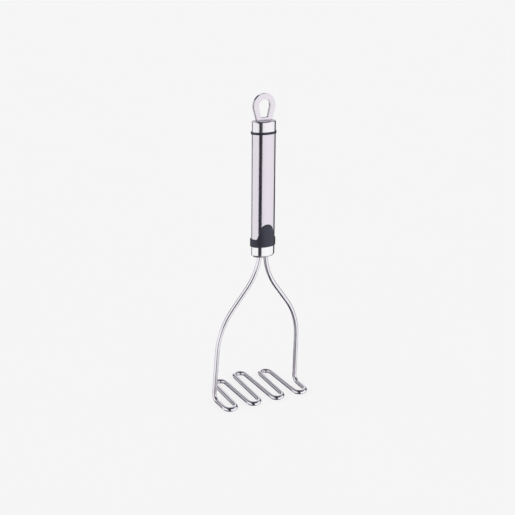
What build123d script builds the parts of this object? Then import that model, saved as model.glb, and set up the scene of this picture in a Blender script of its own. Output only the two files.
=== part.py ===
from build123d import *
from math import acos, atan2, cos, radians, sin, tan
import os

# Wire masher: one bent wire makes the head and both legs, and an oval handle holds its ends.
# Millimetres, +Z up, X across the head, the front towards -Y.
# The origin is on the floor under the middle of the head's outline.

# Masher wire
WIRE_D = 4.0
RUN_PITCH = 12.0          # spacing of the runs that cross the head from front to back
TURN_R = 5.5              # centre-line radius of the U-turns, a little under half the pitch
FRONT_REACH = 17.5        # plane of the legs to the centres of the four front U-turns
BACK_REACH = 20.7         # plane of the legs to the centres of the outer back U-turns
BACK_REACH_MIDDLE = 26.5  # the middle back U-turn reaches further
KNEE_X, KNEE_Z = 40.0, 68.5            # corner where each leg turns in towards the handle
SHOULDER_X, SHOULDER_Z = 2.6, 118.1    # corner where it turns up into the handle
FOOT_R, KNEE_R, SHOULDER_R = 6.0, 67.0, 58.0
SOCKET_DEPTH = 26.5
SOCKET_GAP = 0.05

# Handle, measured along its own axis from the bottom face of the ferrule
RAKE = 5.0                # the handle leans back from the plane of the legs
HANDLE_Z = 132.0
HANDLE_W, HANDLE_D = 22.0, 14.7
WALL = 1.0
FERRULE_TOP = 9.5
FERRULE_FLOOR = 2.0
FERRULE_ROUND = 2.7
COLLAR_TOP = 16.5
COLLAR_PROUD = 0.7
COLLAR_ROUND = 0.6
TONGUE_TOP = 29.5
TONGUE_BASE_W, TONGUE_TIP_W = 17.2, 9.4
TONGUE_CORNER_R = 6.0
TONGUE_ROOT_R = 1.0
TUBE_TOP = 106.1
RING_TOP = 108.05
RING_PROUD = 0.5
CAP_TOP = 116.9
CAP_ROOF = 1.5
CAP_ROUND = 1.3
CORE_TOP = 40.5
PLUG_BOTTOM = 90.5

# Hanging loop, a flat plate on the handle's axis
LOOP_T = 2.5
LOOP_CENTRE = 129.1
LOOP_R, LOOP_BASE_W = 10.25, 14.2
EYE_R, EYE_FLOOR_W = 5.4, 6.6
EYE_FLOOR = 119.5
EYE_CORNER_R = 1.2
LOOP_EDGE = 0.3
TANG_W, TANG_BOTTOM = 9.0, 97.5

HEAD_FRONT = FRONT_REACH + TURN_R + WIRE_D / 2
HEAD_BACK = BACK_REACH_MIDDLE + TURN_R + WIRE_D / 2
LEG_Y = (HEAD_FRONT - HEAD_BACK) / 2   # keeps the head's outline centred on the origin
FOOT_X = 3.5 * RUN_PITCH
HANDLE = Location((0, LEG_Y, HANDLE_Z), (-RAKE, 0, 0))


def bend(before, corner, after, radius):
    """Arc that rounds one corner of a path."""
    u = (before - corner).normalized()
    v = (after - corner).normalized()
    half = radians(u.get_angle(v)) / 2
    reach = radius / tan(half)
    middle = corner + (u + v).normalized() * (radius / sin(half) - radius)
    return ThreePointArc(corner + u * reach, middle, corner + v * reach)


def run_between(start, end, turn):
    """Straight run that leaves one U-turn and meets the next on its other side."""
    step = end - start
    swing = acos(2 * TURN_R / step.length)
    angle = atan2(step.Y, step.X) - turn * swing
    side = Vector(cos(angle), sin(angle)) * TURN_R
    return Line(start + side, end - side)


def leg_edges(toe):
    """Left leg from its top end down to the first U-turn of the head."""
    corners = [
        Vector(-SHOULDER_X, LEG_Y, HANDLE_Z + SOCKET_DEPTH),
        Vector(-SHOULDER_X, LEG_Y, SHOULDER_Z),
        Vector(-KNEE_X, LEG_Y, KNEE_Z),
        Vector(-FOOT_X, LEG_Y, WIRE_D / 2),
        toe,
    ]
    bends = [
        bend(*corners[i:i + 3], radius)
        for i, radius in enumerate((SHOULDER_R, KNEE_R, FOOT_R))
    ]
    stops = [corners[0]]
    for arc in bends:
        stops += [arc @ 0, arc @ 1]
    stops.append(toe)
    straights = [Line(stops[i], stops[i + 1]) for i in range(0, len(stops), 2)]
    return bends + straights


def wire_path():
    """Centre line of the whole wire: leg, zigzag head, leg."""
    height = Vector(0, LEG_Y, WIRE_D / 2)
    backs = (BACK_REACH, BACK_REACH_MIDDLE, BACK_REACH)
    centres = []
    for i in range(7):
        reach = backs[i // 2] if i % 2 else -FRONT_REACH
        centres.append(height + Vector((i - 3) * RUN_PITCH, reach))
    runs = [
        run_between(centres[i], centres[i + 1], 1 if i % 2 == 0 else -1)
        for i in range(6)
    ]
    toe = centres[0] - Vector(TURN_R, 0)
    ends = [toe] + [point for run in runs for point in (run @ 0, run @ 1)]
    ends.append(centres[-1] + Vector(TURN_R, 0))
    turns = []
    for i, centre in enumerate(centres):
        tip = centre + Vector(0, TURN_R if i % 2 else -TURN_R)
        turns.append(ThreePointArc(ends[2 * i], tip, ends[2 * i + 1]))
    left = leg_edges(toe)
    right = [edge.mirror(Plane.YZ) for edge in left]
    return Wire([*left, *turns, *runs, *right])


def wire_solid(grow=0.0):
    path = wire_path()
    top = Plane((-SHOULDER_X, LEG_Y, HANDLE_Z + SOCKET_DEPTH), z_dir=(0, 0, -1))
    return sweep(top * Circle(WIRE_D / 2 + grow), path)


def oval_block(low, high, grow=0.0):
    section = Ellipse(HANDLE_W / 2 + grow, HANDLE_D / 2 + grow)
    return extrude(Pos(0, 0, low) * section, high - low)


def sleeve(low, high, grow=0.0):
    return oval_block(low, high, grow) - oval_block(low, high, -WALL)


def front_prism(face):
    """Extrude a shape drawn in X and handle height from the axis out past the front."""
    return extrude(Plane.XZ * face, HANDLE_D)


def collar_outline():
    """Front view of the collar with its thumb tongue."""
    half_base, half_tip = TONGUE_BASE_W / 2, TONGUE_TIP_W / 2
    outline = make_face(Polyline(
        (-HANDLE_W, FERRULE_TOP), (HANDLE_W, FERRULE_TOP),
        (HANDLE_W, COLLAR_TOP), (half_base, COLLAR_TOP),
        (half_tip, TONGUE_TOP), (-half_tip, TONGUE_TOP),
        (-half_base, COLLAR_TOP), (-HANDLE_W, COLLAR_TOP), close=True,
    ))
    roots = [v for v in outline.vertices() if abs(abs(v.X) - half_base) < 0.1]
    outline = fillet(roots, TONGUE_ROOT_R)
    return fillet(outline.vertices().group_by(Axis.Y)[-1], TONGUE_CORNER_R)


def make_collar():
    ring_height = COLLAR_TOP - FERRULE_TOP
    rear = Pos(0, FERRULE_TOP + ring_height / 2) * Rectangle(2 * HANDLE_W, ring_height)
    trim = front_prism(collar_outline()) + extrude(Plane.XZ * rear, -HANDLE_D)
    body = oval_block(FERRULE_TOP, TONGUE_TOP, COLLAR_PROUD) & trim
    rims = [
        edge for edge in body.faces().sort_by(SortBy.AREA)[-1].edges()
        if edge.geom_type != GeomType.LINE
    ]
    return fillet(rims, COLLAR_ROUND) - oval_block(FERRULE_TOP, TONGUE_TOP, -WALL)


def make_ferrule():
    body = oval_block(0, FERRULE_TOP)
    body = fillet(body.edges().group_by(Axis.Z)[0], FERRULE_ROUND)
    return body - oval_block(FERRULE_FLOOR, FERRULE_TOP, -WALL)


def make_cap():
    body = oval_block(RING_TOP, CAP_TOP)
    body = fillet(body.edges().group_by(Axis.Z)[-1], CAP_ROUND)
    return body - oval_block(RING_TOP, CAP_TOP - CAP_ROOF, -WALL)


def tang_block(grow=0.0):
    length = CAP_TOP - TANG_BOTTOM
    middle = Pos(0, 0, (CAP_TOP + TANG_BOTTOM) / 2)
    return middle * Box(TANG_W + 2 * grow, LOOP_T + 2 * grow, length)


def pear(radius, base, base_w):
    """Round top with straight sides that taper down to a flat base."""
    round_top = Pos(0, LOOP_CENTRE) * Circle(radius)
    foot = Line((-base_w / 2, base), (base_w / 2, base))
    return make_hull(ShapeList([*round_top.edges(), *foot.edges()]))


def make_loop():
    plate = pear(LOOP_R, CAP_TOP, LOOP_BASE_W)
    eye = pear(EYE_R, EYE_FLOOR, EYE_FLOOR_W)
    eye = fillet(eye.vertices().group_by(Axis.Y)[0], EYE_CORNER_R)
    body = extrude(Plane.XZ * (plate - eye), LOOP_T / 2, both=True)
    rims = body.faces().sort_by(Axis.Y)[0].edges() + body.faces().sort_by(Axis.Y)[-1].edges()
    body = fillet(rims, LOOP_EDGE)
    return body + tang_block()


wire = wire_solid()
sockets = HANDLE.inverse() * wire_solid(SOCKET_GAP)
tube_notch = front_prism(collar_outline())
tang_slot = tang_block(SOCKET_GAP)

handle_parts = {
    "ferrule": make_ferrule() - sockets,
    "lower_core": oval_block(FERRULE_FLOOR, CORE_TOP, -WALL) - sockets,
    "grip_collar": make_collar(),
    "handle_tube": sleeve(COLLAR_TOP, TUBE_TOP) - tube_notch,
    "spacer_ring": sleeve(TUBE_TOP, RING_TOP, RING_PROUD),
    "end_cap": make_cap() - tang_slot,
    "upper_plug": oval_block(PLUG_BOTTOM, CAP_TOP - CAP_ROOF, -WALL) - tang_slot,
    "hanging_loop": make_loop(),
}

os.makedirs("parts", exist_ok=True)
export_step(wire, "parts/masher_wire.step")
for name, shape in handle_parts.items():
    export_step(HANDLE * shape, f"parts/{name}.step")
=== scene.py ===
from math import cos, pi, radians, sin

import bmesh
import bpy
from mathutils import Matrix, Vector

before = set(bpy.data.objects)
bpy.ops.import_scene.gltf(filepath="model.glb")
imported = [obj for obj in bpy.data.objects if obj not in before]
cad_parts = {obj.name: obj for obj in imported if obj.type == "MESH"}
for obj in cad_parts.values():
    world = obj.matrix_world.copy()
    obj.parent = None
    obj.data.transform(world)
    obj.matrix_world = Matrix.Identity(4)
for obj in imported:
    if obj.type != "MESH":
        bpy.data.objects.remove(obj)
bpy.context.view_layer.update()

# The handle leans back from the plane of the legs. Its own axis runs up through the tube.
RAKE = radians(5.0)

# Steels and rubbers: each has a main colour and the colour of its marks or wear
WIRE_COLOUR, WIRE_SMUDGE, WIRE_ROUGHNESS = (0.907, 0.876, 0.94), (0.847, 0.816, 0.88), 0.07
FERRULE_COLOUR, FERRULE_SMUDGE, FERRULE_ROUGHNESS = (0.95, 0.936, 0.962), (0.92, 0.906, 0.932), 0.12
CAP_COLOUR, CAP_SMUDGE, CAP_ROUGHNESS = (0.908, 0.882, 0.928), (0.878, 0.852, 0.898), 0.13
CAP_TOP_ROUGHNESS = 0.42
TUBE_COLOUR, TUBE_GRAIN, TUBE_ROUGHNESS = (0.82, 0.77, 0.84), (0.74, 0.69, 0.76), 0.12
LOOP_COLOUR, LOOP_GRAIN, LOOP_ROUGHNESS = (0.82, 0.77, 0.84), (0.75, 0.70, 0.77), 0.16
COLLAR_COLOUR, COLLAR_WEAR, COLLAR_ROUGHNESS = (0.017, 0.017, 0.026), (0.024, 0.024, 0.036), 0.46
RING_COLOUR, RING_WEAR, RING_ROUGHNESS = (0.012, 0.012, 0.019), (0.018, 0.018, 0.027), 0.48
NYLON_COLOUR, NYLON_WEAR, NYLON_ROUGHNESS = (0.02, 0.02, 0.022), (0.03, 0.03, 0.032), 0.55

# The studio is a white tent with cards of other brightness in it. A card is placed by the angle
# round the object from the front, left of it negative, and the height above the horizon:
# (angle, half width, height, half height, soft edge, brightness), all angles in degrees.
TENT = 0.97
CARDS = (
    (38, 22, 0, 60, 30, 1.02),        # brighter front wall, right of the middle
    (108, 19, 0, 90, 6, 0.05),        # black right side
    (180, 42, 52, 14, 8, 0.40),       # grey above the rear
    (-171, 18, 21, 33, 6, 0.05),      # black rear, left of the middle
    (-141, 12, -18, 9, 5, 0.03),      # black cards low in the left rear
    (-146, 13, -38, 12, 5, 0.03),
    (-138, 6, 12, 10, 4, 0.05),       # and a small one above the horizon
    (-150, 7, -2, 8, 5, 0.50),        # grey beside it
    (132, 18, -21, 4, 4, 0.05),       # thin black bar low in the right rear
    (135, 10, 18, 14, 8, 0.50),       # greys above it
    (148, 9, 4, 9, 6, 0.38),
    (0, 181, 90, 44, 10, 0.12),       # dark roof
    (0, 60, 60, 26, 10, 0.05),        # black front of the roof, which hangs lower
    (20, 24, -30, 3, 3, 0.60),        # grey edge of the table, right of the camera
    (-62, 58, -59, 31.5, 3, 0.33),    # grey table to the left
    (0, 181, -90, 33, 6, 0.04),       # black under the object
    (-27, 28, -53, 14, 6, 0.03),      # and in front of it, below the camera
    (-36, 15, 26, 26, 6, 0.05),       # black corner beyond the strip
    (-19.5, 13.5, 10, 40, 5, 0.034),  # black upright strip beside the camera
)
SHADE_TINT = (1.0, 0.98, 1.35)        # only the darkest cards are blue
TINT_FALLOFF = 6                      # how fast the tint goes as a card gets brighter
BACKDROP = 0.92                       # the plain pale backdrop behind the object

# Light from overhead, and the glow of the floor itself, which softens the shadows on it
CEILING_ANGLE, CEILING_POWER = radians(150.0), 0.66
FLOOR_GLOW = 0.755
FLOOR_TONES = (0.30, 0.30, 0.30), (0.305, 0.305, 0.305)
FLOOR_HALF = 9.0

# Camera: the angle it looks from, its distance, and the point it aims at
CAMERA_AZIMUTH, CAMERA_ELEVATION = radians(-31.5), radians(21.8)
CAMERA_ROLL = radians(3.2)
CAMERA_DISTANCE = 0.8715
CAMERA_AIM = Vector((-0.00716, -0.00817, 0.13278))
LENS, SENSOR = 71.49, 36.0


# ---------- shader nodes ----------

def new_material(name):
    material = bpy.data.materials.new(name)
    material.use_nodes = True
    return material, material.node_tree, material.node_tree.nodes["Principled BSDF"]


def object_space(tree, stretch=(1.0, 1.0, 1.0), lean=0.0):
    """Object coordinates, leaned onto the handle's axis and stretched."""
    coordinates = tree.nodes.new("ShaderNodeTexCoord")
    turn = tree.nodes.new("ShaderNodeMapping")
    turn.inputs["Rotation"].default_value = (lean, 0.0, 0.0)
    scale = tree.nodes.new("ShaderNodeMapping")
    scale.inputs["Scale"].default_value = stretch
    tree.links.new(coordinates.outputs["Object"], turn.inputs["Vector"])
    tree.links.new(turn.outputs["Vector"], scale.inputs["Vector"])
    return scale.outputs["Vector"]


def noise(tree, vector, scale, detail=4.0, roughness=0.6):
    node = tree.nodes.new("ShaderNodeTexNoise")
    node.inputs["Scale"].default_value = scale
    node.inputs["Detail"].default_value = detail
    node.inputs["Roughness"].default_value = roughness
    tree.links.new(vector, node.inputs["Vector"])
    return node.outputs["Fac"]


def spread(tree, value, low, high, start=0.3, stop=0.7):
    """Map a value between start and stop, such as a noise, onto low to high."""
    node = tree.nodes.new("ShaderNodeMapRange")
    node.inputs["From Min"].default_value = start
    node.inputs["From Max"].default_value = stop
    node.inputs["To Min"].default_value = low
    node.inputs["To Max"].default_value = high
    tree.links.new(value, node.inputs["Value"])
    return node.outputs["Result"]


def blend_colours(tree, factor, first, second):
    node = tree.nodes.new("ShaderNodeMix")
    node.data_type = "RGBA"
    node.inputs["A"].default_value = (*first, 1.0)
    node.inputs["B"].default_value = (*second, 1.0)
    tree.links.new(factor, node.inputs["Factor"])
    return node.outputs["Result"]


def bump(tree, height, distance, strength=1.0):
    node = tree.nodes.new("ShaderNodeBump")
    node.inputs["Distance"].default_value = distance
    node.inputs["Strength"].default_value = strength
    tree.links.new(height, node.inputs["Height"])
    return node.outputs["Normal"]


def calculate(tree, operation, *values):
    """A math node, whose inputs are numbers or other nodes' outputs."""
    node = tree.nodes.new("ShaderNodeMath")
    node.operation = operation
    for socket, value in zip(node.inputs, values):
        if isinstance(value, float):
            socket.default_value = value
        else:
            tree.links.new(value, socket)
    return node.outputs["Value"]


def flat_top_mask(tree, low, high):
    """High where the surface faces almost straight up and low elsewhere."""
    upward = tree.nodes.new("ShaderNodeSeparateXYZ")
    surface = tree.nodes.new("ShaderNodeNewGeometry")
    tree.links.new(surface.outputs["Normal"], upward.inputs["Vector"])
    return spread(tree, upward.outputs["Z"], low, high, start=0.975, stop=0.998)


# ---------- materials ----------

def polished_steel(name, colour, smudge, rough, top_rough=None):
    """Bright stainless steel with faint handling marks and fine polishing lines. The flat top of
    a piece may be satin instead."""
    material, tree, shader = new_material(name)
    shader.inputs["Metallic"].default_value = 1.0
    smudges = noise(tree, object_space(tree), 90.0, detail=3.0)
    lines = noise(tree, object_space(tree, (1.0, 1.0, 0.15)), 2600.0, detail=2.0)
    tree.links.new(
        blend_colours(tree, spread(tree, smudges, 0.0, 1.0), colour, smudge),
        shader.inputs["Base Color"])
    roughness = spread(tree, smudges, rough, rough * 1.3)
    if top_rough:
        roughness = calculate(
            tree, "ADD", roughness, flat_top_mask(tree, 0.0, top_rough - rough))
    tree.links.new(roughness, shader.inputs["Roughness"])
    tree.links.new(bump(tree, lines, 0.000002), shader.inputs["Normal"])
    return material


def brushed_steel(name, colour, grain, rough, lean):
    """Satin stainless steel, brushed along the handle."""
    material, tree, shader = new_material(name)
    shader.inputs["Metallic"].default_value = 1.0
    brushing = object_space(tree, (1.0, 1.0, 0.012), lean)
    fine = noise(tree, brushing, 5200.0, detail=5.0, roughness=0.7)
    broad = noise(tree, object_space(tree, (1.0, 1.0, 0.2), lean), 160.0, detail=2.0)
    tree.links.new(
        blend_colours(tree, spread(tree, fine, 0.0, 1.0), colour, grain),
        shader.inputs["Base Color"])
    tree.links.new(spread(tree, broad, rough, rough * 1.35), shader.inputs["Roughness"])
    tree.links.new(bump(tree, fine, 0.000003), shader.inputs["Normal"])
    return material


def soft_rubber(name, colour, worn, rough):
    """Matt black rubber with a fine moulded grain and a little polish where it is handled."""
    material, tree, shader = new_material(name)
    shader.inputs["Specular IOR Level"].default_value = 0.75
    shader.inputs["Specular Tint"].default_value = (0.78, 0.78, 1.0, 1.0)
    wear = noise(tree, object_space(tree), 70.0, detail=3.0)
    moulding = noise(tree, object_space(tree), 3800.0, detail=3.0, roughness=0.5)
    tree.links.new(
        blend_colours(tree, spread(tree, wear, 0.0, 1.0), colour, worn),
        shader.inputs["Base Color"])
    tree.links.new(spread(tree, wear, rough, rough - 0.12), shader.inputs["Roughness"])
    tree.links.new(bump(tree, moulding, 0.00002), shader.inputs["Normal"])
    return material


def dress(node, material):
    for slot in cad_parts[node].material_slots:
        slot.material = material


# ---------- studio ----------

def make_floor():
    mesh = bpy.data.meshes.new("floor")
    form = bmesh.new()
    bmesh.ops.create_grid(form, x_segments=8, y_segments=8, size=FLOOR_HALF)
    form.to_mesh(mesh)
    form.free()
    floor = bpy.data.objects.new("floor", mesh)
    bpy.context.scene.collection.objects.link(floor)
    material, tree, shader = new_material("pale_floor")
    tone = spread(tree, noise(tree, object_space(tree), 6.0), 0.0, 1.0)
    tree.links.new(blend_colours(tree, tone, *FLOOR_TONES), shader.inputs["Base Color"])
    shader.inputs["Roughness"].default_value = 0.9
    shader.inputs["Specular IOR Level"].default_value = 0.0
    shader.inputs["Emission Color"].default_value = (1.0, 1.0, 1.0, 1.0)
    shader.inputs["Emission Strength"].default_value = FLOOR_GLOW
    mesh.materials.append(material)
    floor.visible_glossy = False


def card_mask(tree, angle, middle, half, edge):
    """1 within half of the middle angle and 0 beyond it, with a soft edge."""
    offset = calculate(
        tree, "WRAP", calculate(tree, "SUBTRACT", angle, radians(middle)), pi, -pi)
    node = tree.nodes.new("ShaderNodeMapRange")
    node.interpolation_type = "SMOOTHSTEP"
    node.inputs["From Min"].default_value = radians(half + edge / 2)
    node.inputs["From Max"].default_value = radians(half - edge / 2)
    tree.links.new(calculate(tree, "ABSOLUTE", offset), node.inputs["Value"])
    return node.outputs["Result"]


def card_colour(brightness):
    darkness = max(0.0, 1.0 - brightness) ** TINT_FALLOFF
    return [brightness * (1.0 + darkness * (tint - 1.0)) for tint in SHADE_TINT]


def make_studio():
    """The world: a white tent with the cards laid over it one after another. The camera itself
    sees the plain backdrop instead."""
    world = bpy.data.worlds.new("studio")
    bpy.context.scene.world = world
    world.use_nodes = True
    tree = world.node_tree
    coordinates = tree.nodes.new("ShaderNodeTexCoord")
    axes = tree.nodes.new("ShaderNodeSeparateXYZ")
    tree.links.new(coordinates.outputs["Generated"], axes.inputs["Vector"])
    front = calculate(tree, "MULTIPLY", axes.outputs["Y"], -1.0)
    azimuth = calculate(tree, "ARCTAN2", axes.outputs["X"], front)
    elevation = calculate(tree, "ARCSINE", axes.outputs["Z"])
    colour = None
    for angle, half_width, height, half_height, edge, brightness in CARDS:
        mask = calculate(
            tree, "MULTIPLY",
            card_mask(tree, azimuth, angle, half_width, edge),
            card_mask(tree, elevation, height, half_height, edge))
        over = tree.nodes.new("ShaderNodeMix")
        over.data_type = "RGBA"
        over.inputs["A"].default_value = (TENT, TENT, TENT, 1.0)
        over.inputs["B"].default_value = (*card_colour(brightness), 1.0)
        tree.links.new(mask, over.inputs["Factor"])
        if colour:
            tree.links.new(colour, over.inputs["A"])
        colour = over.outputs["Result"]
    seen = tree.nodes.new("ShaderNodeMix")
    seen.data_type = "RGBA"
    seen.inputs["B"].default_value = (BACKDROP, BACKDROP, BACKDROP, 1.0)
    rays = tree.nodes.new("ShaderNodeLightPath")
    tree.links.new(rays.outputs["Is Camera Ray"], seen.inputs["Factor"])
    tree.links.new(colour, seen.inputs["A"])
    tree.links.new(seen.outputs["Result"], tree.nodes["Background"].inputs["Color"])


def make_soft_light():
    """Light from the whole ceiling, which lights the floor evenly and leaves only faint shadows."""
    light = bpy.data.lights.new("ceiling", "SUN")
    light.angle = CEILING_ANGLE
    light.energy = CEILING_POWER
    lamp = bpy.data.objects.new("ceiling", light)
    lamp.visible_glossy = False
    bpy.context.scene.collection.objects.link(lamp)


def make_camera():
    camera = bpy.data.objects.new("camera", bpy.data.cameras.new("camera"))
    bpy.context.scene.collection.objects.link(camera)
    camera.data.sensor_width = SENSOR
    camera.data.lens = LENS
    camera.data.clip_start = 0.05
    camera.data.clip_end = 40.0
    away = Vector((
        sin(CAMERA_AZIMUTH) * cos(CAMERA_ELEVATION),
        -cos(CAMERA_AZIMUTH) * cos(CAMERA_ELEVATION),
        sin(CAMERA_ELEVATION),
    ))
    upright = away.to_track_quat("Z", "Y").to_matrix().to_4x4()
    camera.matrix_world = (
        Matrix.Translation(CAMERA_AIM + away * CAMERA_DISTANCE)
        @ upright @ Matrix.Rotation(CAMERA_ROLL, 4, "Z"))
    bpy.context.scene.camera = camera


dress("masher_wire", polished_steel("wire_steel", WIRE_COLOUR, WIRE_SMUDGE, WIRE_ROUGHNESS))
dress("ferrule", polished_steel(
    "ferrule_steel", FERRULE_COLOUR, FERRULE_SMUDGE, FERRULE_ROUGHNESS))
dress("end_cap", polished_steel(
    "cap_steel", CAP_COLOUR, CAP_SMUDGE, CAP_ROUGHNESS, CAP_TOP_ROUGHNESS))
dress("handle_tube", brushed_steel("tube_steel", TUBE_COLOUR, TUBE_GRAIN, TUBE_ROUGHNESS, -RAKE))
dress("hanging_loop", brushed_steel("loop_steel", LOOP_COLOUR, LOOP_GRAIN, LOOP_ROUGHNESS, -RAKE))
dress("grip_collar", soft_rubber("collar_rubber", COLLAR_COLOUR, COLLAR_WEAR, COLLAR_ROUGHNESS))
dress("spacer_ring", soft_rubber("ring_rubber", RING_COLOUR, RING_WEAR, RING_ROUGHNESS))
dress("lower_core", soft_rubber("core_nylon", NYLON_COLOUR, NYLON_WEAR, NYLON_ROUGHNESS))
dress("upper_plug", soft_rubber("plug_nylon", NYLON_COLOUR, NYLON_WEAR, NYLON_ROUGHNESS))

make_floor()
make_studio()
make_soft_light()
make_camera()
bpy.context.scene.view_settings.view_transform = "Standard"
